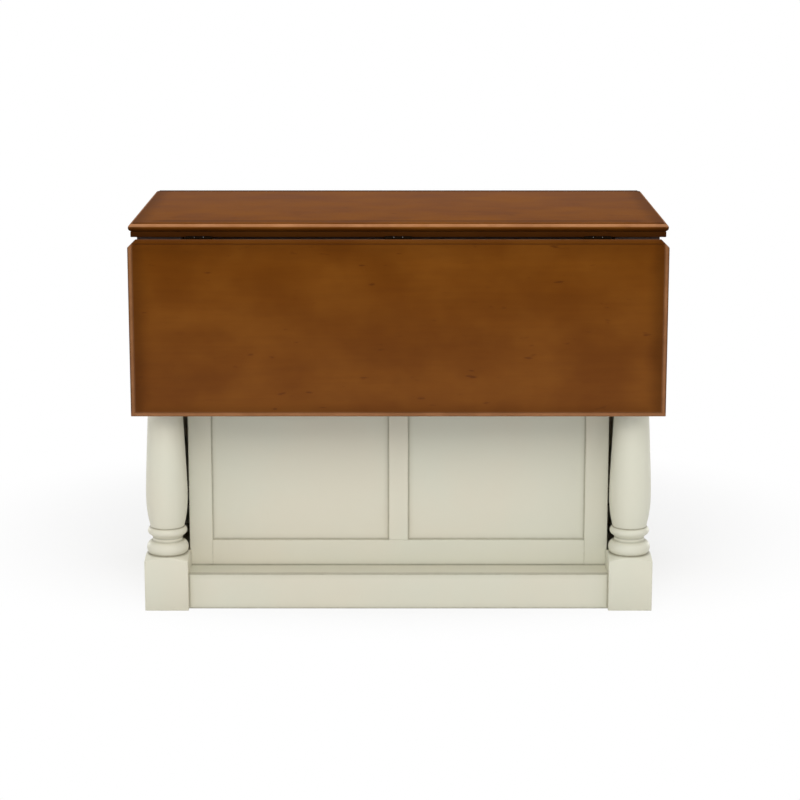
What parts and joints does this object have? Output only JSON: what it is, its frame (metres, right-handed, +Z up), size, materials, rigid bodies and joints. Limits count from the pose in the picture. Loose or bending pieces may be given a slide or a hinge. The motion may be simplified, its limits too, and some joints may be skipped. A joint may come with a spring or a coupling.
{
  "type": "kitchen island",
  "caption": "Drop leaf kitchen island with a moulded wooden top, a hinged leaf on stays, turned corner posts, panelled sides, drawers and cupboard doors.",
  "frame": {"origin": "on the floor, at the middle of the box that the island fills with its leaf hanging", "axes": "+Z up; the leaf hangs on the -Y side and the doors and drawers open towards +Y; +X is to the right for someone who looks at the leaf"},
  "size_m": [1.22, 0.667, 0.9144],
  "materials": {
    "stained_wood": "satin brown stain with dark edges",
    "painted_wood": "rubbed off-white paint",
    "bare_wood": "clear matt lacquer",
    "aged_brass": "darkened satin",
    "steel": "zinc plated",
    "catch_body": "matt"
  },
  "bodies": {
    "island": {"worktop": "stained_wood", "worktop_strips": "stained_wood", "leaf_hinge_plates": "aged_brass", "hinge_pins": "steel", "stay_brackets": "steel", "stay_pivot_pins": "steel", "frame_screws": "aged_brass", "top_cleats": "bare_wood", "post_leaf_left": "painted_wood", "post_leaf_right": "painted_wood", "post_door_left": "painted_wood", "post_door_right": "painted_wood", "base_boards_long": "painted_wood", "base_boards_ends": "painted_wood", "deck": "painted_wood", "leaf_apron": "painted_wood", "back_stiles": "painted_wood", "back_rails": "painted_wood", "back_mullion": "painted_wood", "back_panels": "painted_wood", "side_frame_left": "painted_wood", "side_frame_right": "painted_wood", "side_panel_left": "painted_wood", "side_panel_right": "painted_wood", "carcass_side_left": "bare_wood", "carcass_side_right": "bare_wood", "centre_divider": "bare_wood", "face_stiles": "painted_wood", "face_centre_stile": "painted_wood", "face_rails": "painted_wood", "shelves": "bare_wood", "shelf_pins": "aged_brass", "drawer_runners": "bare_wood", "door_hinge_plates": "aged_brass", "door_catches": "catch_body"},
    "leaf": {"leaf_board": "stained_wood", "leaf_strips": "stained_wood", "leaf_hinge_flaps": "aged_brass", "leaf_screws": "aged_brass", "stay_channels": "steel"},
    "stay_left": {"stay_arm_left": "steel"},
    "stay_right": {"stay_arm_right": "steel"},
    "drawer_left": {"drawer_left_front": "painted_wood", "drawer_left_box": "bare_wood", "drawer_left_bottom": "bare_wood", "drawer_left_knob": "aged_brass"},
    "drawer_right": {"drawer_right_front": "painted_wood", "drawer_right_box": "bare_wood", "drawer_right_bottom": "bare_wood", "drawer_right_knob": "aged_brass"},
    "door_left": {"door_left_frame": "painted_wood", "door_left_panel": "painted_wood", "door_left_knob": "aged_brass", "door_left_hinges": "aged_brass", "door_left_screws": "aged_brass"},
    "door_right": {"door_right_frame": "painted_wood", "door_right_panel": "painted_wood", "door_right_knob": "aged_brass", "door_right_hinges": "aged_brass", "door_right_screws": "aged_brass"}
  },
  "joints": [
    {"name": "leaf_hinge", "type": "hinge", "parent": "island", "child": "leaf", "pos_m": [0, -0.3015, 0.8824], "axis": [-1, 0, 0], "range_deg": [0, 90]},
    {"name": "stay_left_pivot", "type": "hinge", "parent": "island", "child": "stay_left", "pos_m": [-0.33, -0.2825, 0.7924], "axis": [-1, 0, 0], "range_deg": [0, 106.82]},
    {"name": "stay_right_pivot", "type": "hinge", "parent": "island", "child": "stay_right", "pos_m": [0.33, -0.2825, 0.7924], "axis": [-1, 0, 0], "range_deg": [0, 106.82]},
    {"name": "drawer_left_slide", "type": "slide", "parent": "island", "child": "drawer_left", "axis": [0, 1, 0], "range_m": [0, 0.33]},
    {"name": "drawer_right_slide", "type": "slide", "parent": "island", "child": "drawer_right", "axis": [0, 1, 0], "range_m": [0, 0.33]},
    {"name": "door_left_hinge", "type": "hinge", "parent": "island", "child": "door_left", "pos_m": [-0.4444, 0.2987, 0.4], "axis": [0, 0, 1], "range_deg": [0, 110]},
    {"name": "door_right_hinge", "type": "hinge", "parent": "island", "child": "door_right", "pos_m": [0.4444, 0.2987, 0.4], "axis": [0, 0, -1], "range_deg": [0, 110]}
  ],
  "couplings": [
    {"joint": "stay_left_pivot", "follows": "leaf_hinge", "ratio": 1.1868},
    {"joint": "stay_right_pivot", "follows": "leaf_hinge", "ratio": 1.1868}
  ]
}
